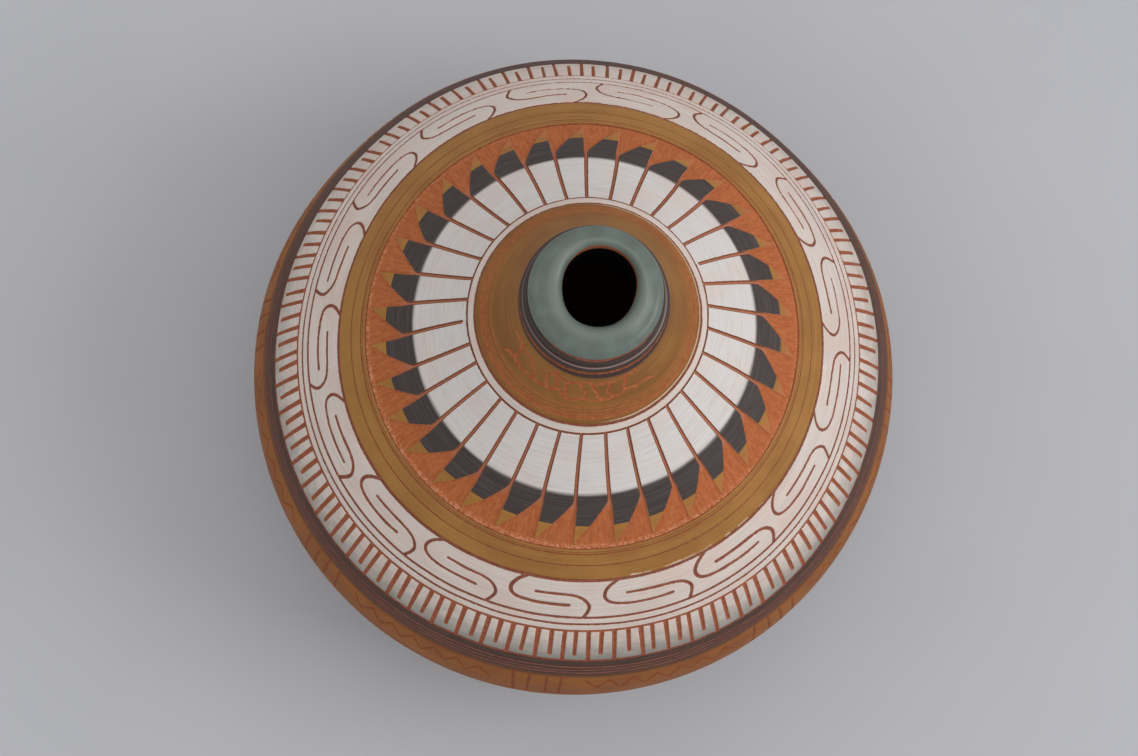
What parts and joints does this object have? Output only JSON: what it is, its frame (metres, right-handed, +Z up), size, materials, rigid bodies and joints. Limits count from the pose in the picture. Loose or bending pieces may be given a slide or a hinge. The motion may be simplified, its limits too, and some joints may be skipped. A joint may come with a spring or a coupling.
{
  "type": "carved pottery vase",
  "caption": "Squat round clay vase with a narrow rolled mouth, bands of coloured slip and a carved ring of feathers on its shoulder.",
  "frame": {"origin": "centre of the foot ring, on the surface the vase stands on", "axes": "+Z up through the centre of the mouth; +X and +Y are level, and the camera of the picture looks along +Y"},
  "size_m": [0.16, 0.16, 0.1495],
  "materials": {
    "red_clay": "bare fired clay, matte",
    "white_slip": "brushed white slip, fine satin",
    "ochre_slip": "brushed ochre slip, low satin",
    "dark_slip": "dark brown-grey slip, low satin",
    "celadon_glaze": "grey-green satin glaze"
  },
  "bodies": {
    "root": {"clay_body": "red_clay", "rim_glaze": "celadon_glaze", "neck_bead_upper": "dark_slip", "neck_bead_lower": "dark_slip", "collar_slip": "ochre_slip", "root_ring": "white_slip", "feather_01": "white_slip", "feather_02": "white_slip", "feather_03": "white_slip", "feather_04": "white_slip", "feather_05": "white_slip", "feather_06": "white_slip", "feather_07": "white_slip", "feather_08": "white_slip", "feather_09": "white_slip", "feather_10": "white_slip", "feather_11": "white_slip", "feather_12": "white_slip", "feather_13": "white_slip", "feather_14": "white_slip", "feather_15": "white_slip", "feather_16": "white_slip", "feather_17": "white_slip", "feather_18": "white_slip", "feather_19": "white_slip", "feather_20": "white_slip", "feather_21": "white_slip", "feather_22": "white_slip", "feather_23": "white_slip", "feather_24": "white_slip", "feather_25": "white_slip", "feather_26": "white_slip", "feather_27": "white_slip", "feather_28": "white_slip", "feather_29": "white_slip", "feather_30": "white_slip", "feather_31": "white_slip", "feather_32": "white_slip", "feather_33": "white_slip", "feather_34": "white_slip", "ochre_band": "ochre_slip", "scroll_band": "white_slip", "line_ring_inner": "white_slip", "line_ring_outer": "white_slip", "tick_band": "white_slip", "shoulder_dark_band": "dark_slip", "bowl_slip": "ochre_slip"}
  },
  "joints": []
}
